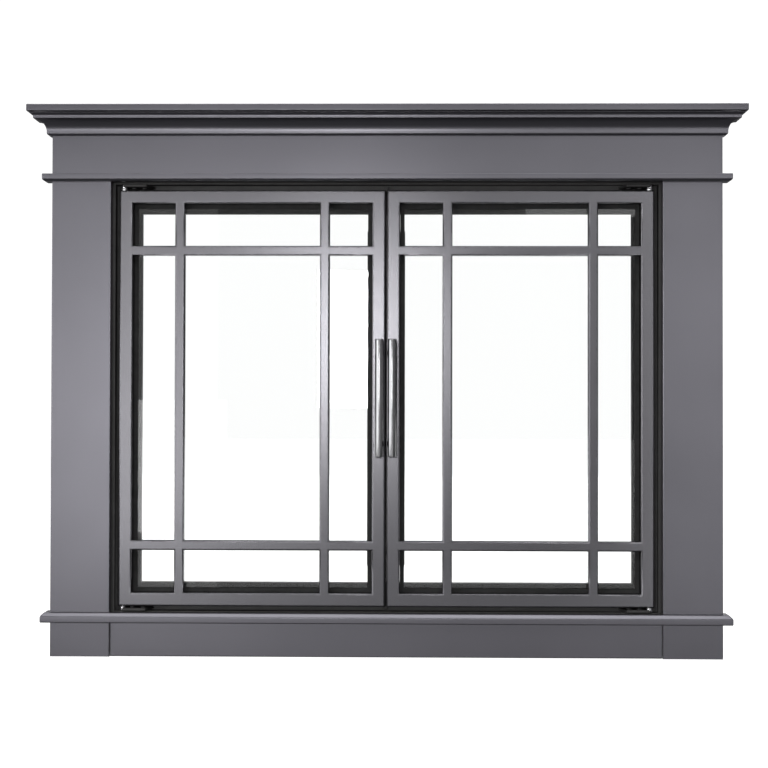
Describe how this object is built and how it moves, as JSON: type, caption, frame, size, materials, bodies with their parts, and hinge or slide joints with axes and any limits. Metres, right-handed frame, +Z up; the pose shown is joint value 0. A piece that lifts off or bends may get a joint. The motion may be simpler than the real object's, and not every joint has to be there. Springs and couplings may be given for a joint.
{
  "type": "fireplace glass door",
  "caption": "Steel fireplace surround with crown moulding and pilasters, holding two glazed grid doors that swing open.",
  "frame": {"origin": "on the floor, at the middle of the object's width and of its front-to-back depth", "axes": "+X to the object's right as seen from the front, +Y back towards the wall, +Z up; the doors face -Y"},
  "size_m": [1.0126, 0.1238, 0.78],
  "materials": {
    "gunmetal": "satin gunmetal powder coat",
    "dark_frame": "matt dark powder coat",
    "zinc": "bright zinc plate",
    "handle": "gloss black",
    "gasket": "matt black",
    "glass": "clear polished"
  },
  "bodies": {
    "surround": {"mantel_cap": "gunmetal", "crown_moulding": "gunmetal", "header_panel": "gunmetal", "neck_band": "gunmetal", "pilaster_right": "gunmetal", "pilaster_left": "gunmetal", "base_band": "gunmetal", "plinth_panel": "gunmetal", "head_rail": "dark_frame", "sill_rail": "dark_frame", "jamb_right": "dark_frame", "jamb_left": "dark_frame", "hinge_strap_upper_right": "dark_frame", "hinge_strap_upper_left": "dark_frame", "hinge_barrel_upper_right": "zinc", "hinge_barrel_upper_left": "zinc", "magnetic_catch_upper": "dark_frame", "hinge_strap_lower_right": "dark_frame", "hinge_strap_lower_left": "dark_frame", "hinge_barrel_lower_right": "zinc", "hinge_barrel_lower_left": "zinc", "magnetic_catch_lower": "dark_frame", "lintel_bracket_right": "dark_frame", "lintel_bracket_left": "dark_frame", "floor_bracket_right": "dark_frame", "floor_bracket_left": "dark_frame"},
    "left_door": {"left_door_hinge_stile": "gunmetal", "left_door_meeting_stile": "gunmetal", "left_door_top_rail": "gunmetal", "left_door_bottom_rail": "gunmetal", "left_door_muntin_upright_outer": "gunmetal", "left_door_muntin_upright_inner": "gunmetal", "left_door_muntin_cross_upper": "gunmetal", "left_door_muntin_cross_lower": "gunmetal", "left_door_glass": "glass", "left_door_glass_gasket": "gasket", "left_door_glass_retainer_outer": "dark_frame", "left_door_glass_retainer_inner": "dark_frame", "left_door_handle_bar": "handle", "left_door_handle_post_upper": "handle", "left_door_handle_post_lower": "handle", "left_door_pivot_pin_upper": "zinc", "left_door_pivot_pin_lower": "zinc"},
    "right_door": {"right_door_hinge_stile": "gunmetal", "right_door_meeting_stile": "gunmetal", "right_door_top_rail": "gunmetal", "right_door_bottom_rail": "gunmetal", "right_door_muntin_upright_outer": "gunmetal", "right_door_muntin_upright_inner": "gunmetal", "right_door_muntin_cross_upper": "gunmetal", "right_door_muntin_cross_lower": "gunmetal", "right_door_glass": "glass", "right_door_glass_gasket": "gasket", "right_door_glass_retainer_outer": "dark_frame", "right_door_glass_retainer_inner": "dark_frame", "right_door_handle_bar": "handle", "right_door_handle_post_upper": "handle", "right_door_handle_post_lower": "handle", "right_door_pivot_pin_upper": "zinc", "right_door_pivot_pin_lower": "zinc"}
  },
  "joints": [
    {"name": "left_door_hinge", "type": "hinge", "parent": "surround", "child": "left_door", "pos_m": [-0.3756, -0.01435, 0.367], "axis": [0, 0, -1], "range_deg": [0, 100]},
    {"name": "right_door_hinge", "type": "hinge", "parent": "surround", "child": "right_door", "pos_m": [0.3756, -0.01435, 0.367], "axis": [0, 0, 1], "range_deg": [0, 100]}
  ]
}
